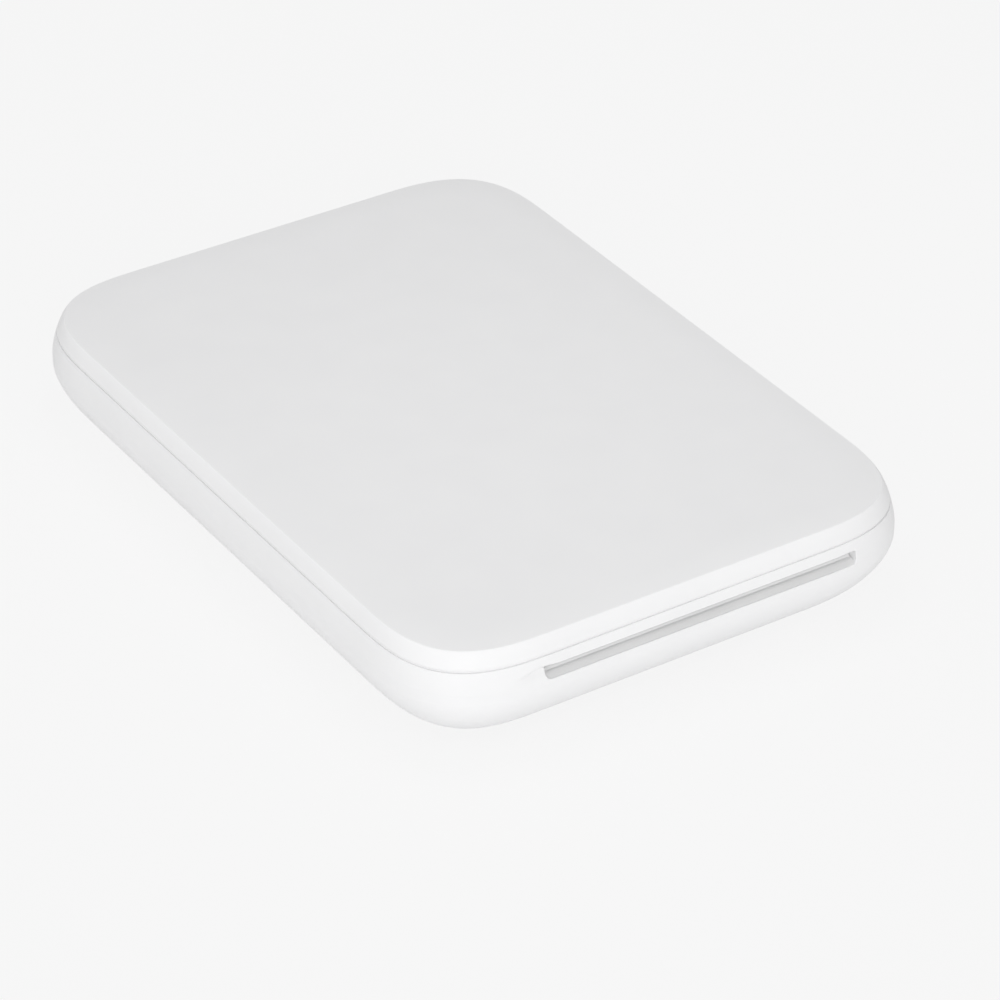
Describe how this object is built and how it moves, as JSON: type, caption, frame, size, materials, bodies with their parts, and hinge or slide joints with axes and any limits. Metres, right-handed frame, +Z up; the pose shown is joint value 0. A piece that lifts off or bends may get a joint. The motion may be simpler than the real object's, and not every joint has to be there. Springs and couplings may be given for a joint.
{
  "type": "compact photo printer",
  "caption": "Flat pocket photo printer: pebble-shaped white case, thin hinged cover, paper slot in the front wall and a full feed mechanism inside.",
  "frame": {"origin": "middle of the footprint, on the surface that the feet stand on", "axes": "+X to the printer's right, -Y to the front with the paper slot, +Z up"},
  "size_m": [0.084, 0.117, 0.019],
  "materials": {
    "lower_case": "satin white",
    "rubber_feet": "soft",
    "case_screws": "plated",
    "hinge_pins": "ground",
    "case_magnets": "nickel plated",
    "paper_tray": "matt light grey",
    "mechanism_hood": "matt light grey",
    "exit_guide": "matt light grey",
    "left_side_plate": "zinc plated sheet",
    "right_side_plate": "zinc plated sheet",
    "lower_guide": "matt black",
    "top_bridge": "matt black",
    "frame_screws": "plated",
    "motor_body": "zinc plated can",
    "gear_studs": "ground",
    "stud_clips": "spring steel",
    "platen_bushes": "natural acetal",
    "pickup_bushes": "natural acetal",
    "separation_pad": "cork and rubber",
    "paper_sensor": "black",
    "head_springs": "spring steel",
    "lift_springs": "spring steel",
    "head_flex": "amber film",
    "motor_ribbon": "amber film",
    "battery_cell": "foil pouch",
    "battery_pad": "foam",
    "battery_leads": "insulated wire",
    "main_board": "green solder mask",
    "board_chips": "black epoxy",
    "shield_can": "tinned sheet",
    "flex_sockets": "cream",
    "board_screws": "plated",
    "rear_board": "green solder mask",
    "rear_link_flex": "amber film",
    "charge_socket": "plated shell",
    "power_switch": "black",
    "light_pipe": "clear",
    "status_led": "clear resin",
    "head_pivot_pins": "ground",
    "top_cover": "satin white",
    "cover_liner": "matt light grey",
    "cover_magnets": "nickel plated",
    "platen_shaft": "ground",
    "platen_rubber": "ground silicone",
    "platen_gear": "natural acetal",
    "platen_clip": "spring steel",
    "pickup_shaft": "ground",
    "pickup_tyres": "soft rubber",
    "pickup_gear": "natural acetal",
    "pickup_clip": "spring steel",
    "compound_gear": "natural acetal",
    "idler_gear": "natural acetal",
    "motor_shaft": "ground",
    "motor_pinion": "turned",
    "print_head": "glazed ceramic",
    "heat_sink": "milled",
    "lift_plate": "matt light grey",
    "power_button": "satin white",
    "switch_plunger": "black"
  },
  "bodies": {
    "case": {"lower_case": "lower_case", "rubber_feet": "rubber_feet", "case_screws": "case_screws", "hinge_pins": "hinge_pins", "case_magnets": "case_magnets", "paper_tray": "paper_tray", "mechanism_hood": "mechanism_hood", "exit_guide": "exit_guide", "left_side_plate": "left_side_plate", "right_side_plate": "right_side_plate", "lower_guide": "lower_guide", "top_bridge": "top_bridge", "frame_screws": "frame_screws", "motor_body": "motor_body", "gear_studs": "gear_studs", "stud_clips": "stud_clips", "platen_bushes": "platen_bushes", "pickup_bushes": "pickup_bushes", "separation_pad": "separation_pad", "paper_sensor": "paper_sensor", "head_springs": "head_springs", "lift_springs": "lift_springs", "head_flex": "head_flex", "motor_ribbon": "motor_ribbon", "battery_cell": "battery_cell", "battery_pad": "battery_pad", "battery_leads": "battery_leads", "main_board": "main_board", "board_chips": "board_chips", "shield_can": "shield_can", "flex_sockets": "flex_sockets", "board_screws": "board_screws", "rear_board": "rear_board", "rear_link_flex": "rear_link_flex", "charge_socket": "charge_socket", "power_switch": "power_switch", "light_pipe": "light_pipe", "status_led": "status_led", "head_pivot_pins": "head_pivot_pins"},
    "cover": {"top_cover": "top_cover", "cover_liner": "cover_liner", "cover_magnets": "cover_magnets"},
    "platen": {"platen_shaft": "platen_shaft", "platen_rubber": "platen_rubber", "platen_gear": "platen_gear", "platen_clip": "platen_clip"},
    "pickup": {"pickup_shaft": "pickup_shaft", "pickup_tyres": "pickup_tyres", "pickup_gear": "pickup_gear", "pickup_clip": "pickup_clip"},
    "compound": {"compound_gear": "compound_gear"},
    "idler": {"idler_gear": "idler_gear"},
    "motor_rotor": {"motor_shaft": "motor_shaft", "motor_pinion": "motor_pinion"},
    "head": {"print_head": "print_head", "heat_sink": "heat_sink"},
    "lift": {"lift_plate": "lift_plate"},
    "button": {"power_button": "power_button", "switch_plunger": "switch_plunger"}
  },
  "joints": [
    {"name": "cover_hinge", "type": "hinge", "parent": "case", "child": "cover", "pos_m": [0, 0.057, 0.016], "axis": [-1, 0, 0], "range_deg": [0, 75]},
    {"name": "platen_spin", "type": "hinge", "parent": "case", "child": "platen", "pos_m": [0, -0.0455, 0.00904], "axis": [1, 0, 0], "continuous": true},
    {"name": "pickup_spin", "type": "hinge", "parent": "case", "child": "pickup", "pos_m": [0, -0.027, 0.01355], "axis": [1, 0, 0], "continuous": true},
    {"name": "compound_spin", "type": "hinge", "parent": "case", "child": "compound", "pos_m": [0, -0.04092, 0.0119], "axis": [1, 0, 0], "continuous": true},
    {"name": "idler_spin", "type": "hinge", "parent": "case", "child": "idler", "pos_m": [0, -0.03377, 0.01109], "axis": [1, 0, 0], "continuous": true},
    {"name": "motor_spin", "type": "hinge", "parent": "case", "child": "motor_rotor", "pos_m": [0, -0.038, 0.0062], "axis": [1, 0, 0], "continuous": true},
    {"name": "head_pivot", "type": "hinge", "parent": "case", "child": "head", "pos_m": [0, -0.0385, 0.0142], "axis": [-1, 0, 0], "range_deg": [0, 2.5], "stiffness_Nm_per_rad": 0.17, "springref_deg": -10.89, "deforming": ["head_springs"]},
    {"name": "lift_pivot", "type": "hinge", "parent": "case", "child": "lift", "pos_m": [0, 0.038, 0.0082], "axis": [1, 0, 0], "range_deg": [0, 2], "stiffness_Nm_per_rad": 0.3, "springref_deg": -8.59, "deforming": ["lift_springs"]},
    {"name": "button_press", "type": "slide", "parent": "case", "child": "button", "axis": [0, -1, 0], "range_m": [0, 0.0003], "stiffness_N_per_m": 800, "springref_m": -0.0006}
  ],
  "couplings": [
    {"joint": "compound_spin", "follows": "platen_spin", "ratio": -1.25},
    {"joint": "idler_spin", "follows": "platen_spin", "ratio": 0.625},
    {"joint": "pickup_spin", "follows": "platen_spin", "ratio": -1.25},
    {"joint": "motor_spin", "follows": "platen_spin", "ratio": 2.0833}
  ]
}
